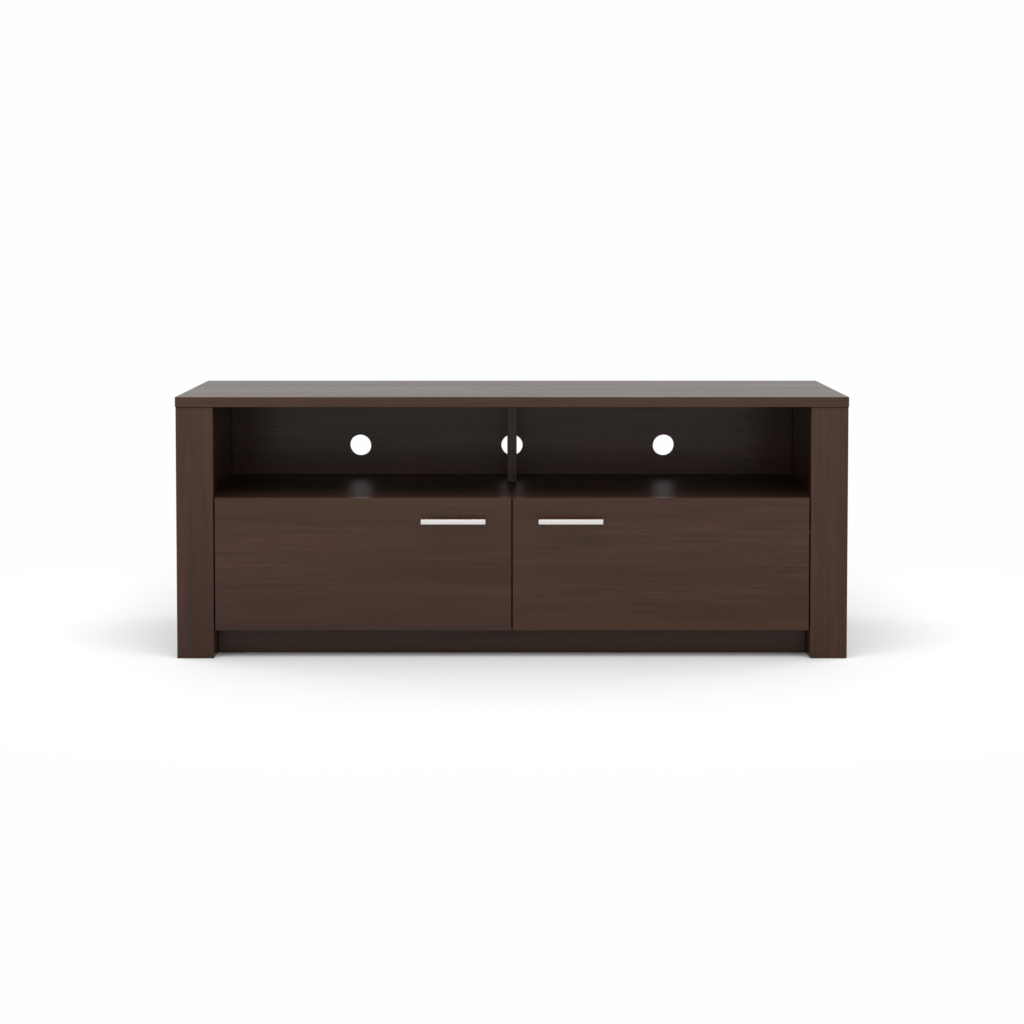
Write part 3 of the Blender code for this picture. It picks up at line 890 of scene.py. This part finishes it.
def make_buffers(side, clear):
    """Soft domed buffers that the door closes against."""
    shapes, nodes = [], []
    for level in LEVELS:
        node = f"{side}_{level}_buffer"
        low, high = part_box(node)
        radius, rise = (high[X] - low[X]) / 2, high[Y] - low[Y]
        profile = (
            (0.0, 0.0),
            (radius, 0.0),
            (radius, rise * 0.25),
            (radius * 0.94, rise * 0.55),
            (radius * 0.76, rise * 0.82),
            (radius * 0.45, rise * 0.96),
            (0.0, rise),
        )
        centre = centre_of(node)
        place = (centre.x, low[Y], centre.z)
        shapes.append(placed(turned(profile, 24), towards(BACKWARDS, place)))
        nodes.append(node)
    door = f"{side}_door"
    make_piece(f"{side}_door_buffers", gather(*shapes), clear, door, nodes)


def make_glide(side, end, clear, steel):
    """A nylon glide on a nail under the side."""
    node = f"{side}_{end}_glide"
    low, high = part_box(node)
    centre = centre_of(node)
    radius = (high[X] - low[X]) / 2
    rise = high[Z] - low[Z]
    profile = (
        (0.0, 0.0009),
        (0.0021, 0.0009),
        (0.0026, 0.0001),
        (0.0031, 0.0),
        (radius - 0.0014, 0.0),
        (radius - 0.0004, 0.0004),
        (radius, 0.0012),
        (radius, rise),
        (0.0, rise),
    )
    place = Matrix.Translation((centre.x, centre.y, low[Z]))
    foot = placed(turned(profile), place)
    make_piece(f"{node}_foot", foot, clear, "carcass", [node])
    nail = placed(turned(GLIDE_NAIL, 16), place)
    make_piece(f"{node}_nail", nail, steel, "carcass")


def make_cam_cap(side, end):
    """A thin cap with the board's own print over the fitting that holds the top."""
    node = f"{side}_{end}_cam"
    print_of_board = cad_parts[f"{side}_inner_side"].data.materials[0]
    sign = SIDES[side]
    centre = centre_of(node)
    face = reach_of(*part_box(f"{side}_inner_side"))[0]
    profile = (
        (0.0, 0.0),
        (CAP_RADIUS, 0.0),
        (CAP_RADIUS, CAP_HEIGHT * 0.4),
        (CAP_RADIUS - 0.0006, CAP_HEIGHT * 0.85),
        (CAP_RADIUS - 0.0016, CAP_HEIGHT),
        (0.0, CAP_HEIGHT),
    )
    place = (sign * (face - 0.0001), centre.y, centre.z)
    cover = placed(turned(profile, 40), towards((-sign, 0.0, 0.0), place))
    make_piece(f"{node}_cap", cover, print_of_board, "carcass")


def make_back_sheet():
    """The thin sheet, let into the sides so that no light comes round its ends."""
    node = "lower_back_panel"
    low, high = (Vector(corner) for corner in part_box(node))
    groove = Vector((GROOVE_DEPTH, 0.0, 0.0))
    inset = Vector((0.0, 0.0001, 0.0))
    sheet = block(low - groove, high + groove - inset, 0.0003)
    board_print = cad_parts[node].data.materials[0]
    make_piece("back_sheet", sheet, board_print, "carcass", [node])


def make_back_pins(steel):
    """The round-headed nails that hold the thin back sheet on the boards behind it."""
    low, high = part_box("lower_back_panel")
    spots = []
    for board in ("shelf_deck", "bottom_panel"):
        level = centre_of(board).z
        count = int(high[X] / PIN_SPACING)
        spots += [(number * PIN_SPACING, level) for number in range(-count, count + 1)]
    rise = (high[Z] - low[Z]) / 4
    spots += [(0.0, low[Z] + rise * step) for step in (1, 2, 3)]
    profile = (
        (0.0, -0.0004),
        (PIN_HEAD_RADIUS, -0.0004),
        (PIN_HEAD_RADIUS * 0.92, PIN_HEAD_RISE * 0.4),
        (PIN_HEAD_RADIUS * 0.55, PIN_HEAD_RISE * 0.9),
        (0.0, PIN_HEAD_RISE),
    )
    places = [towards(BACKWARDS, (x, high[Y], z)) for x, z in spots]
    heads = [placed(turned(profile, 16), place) for place in places]
    make_piece("back_sheet_nails", gather(*heads), steel, "carcass")


def make_fittings():
    """Everything on the boards that isn't a board."""
    steel = metal("nickel_plate", NICKEL, 0.30)
    satin = metal("satin_bar", SATIN, 0.36, brushed=X)
    clear = plastic("pale_nylon", PALE_NYLON, 0.4)
    for side in SIDES:
        make_handle(side, satin, steel)
        make_buffers(side, clear)
        for level in LEVELS:
            make_cup(side, level, steel)
            make_arm(side, level, steel)
            make_plate(side, level, steel)
            make_links(side, level, steel)
        for end in ENDS:
            make_glide(side, end, clear, steel)
            make_cam_cap(side, end)
            dress(f"{side}_{end}_cam", steel)
            dress(f"{side}_{end}_cam_dowel", steel)
    make_back_sheet()
    make_back_pins(steel)


make_camera()
make_studio()
dress_boards()
make_fittings()
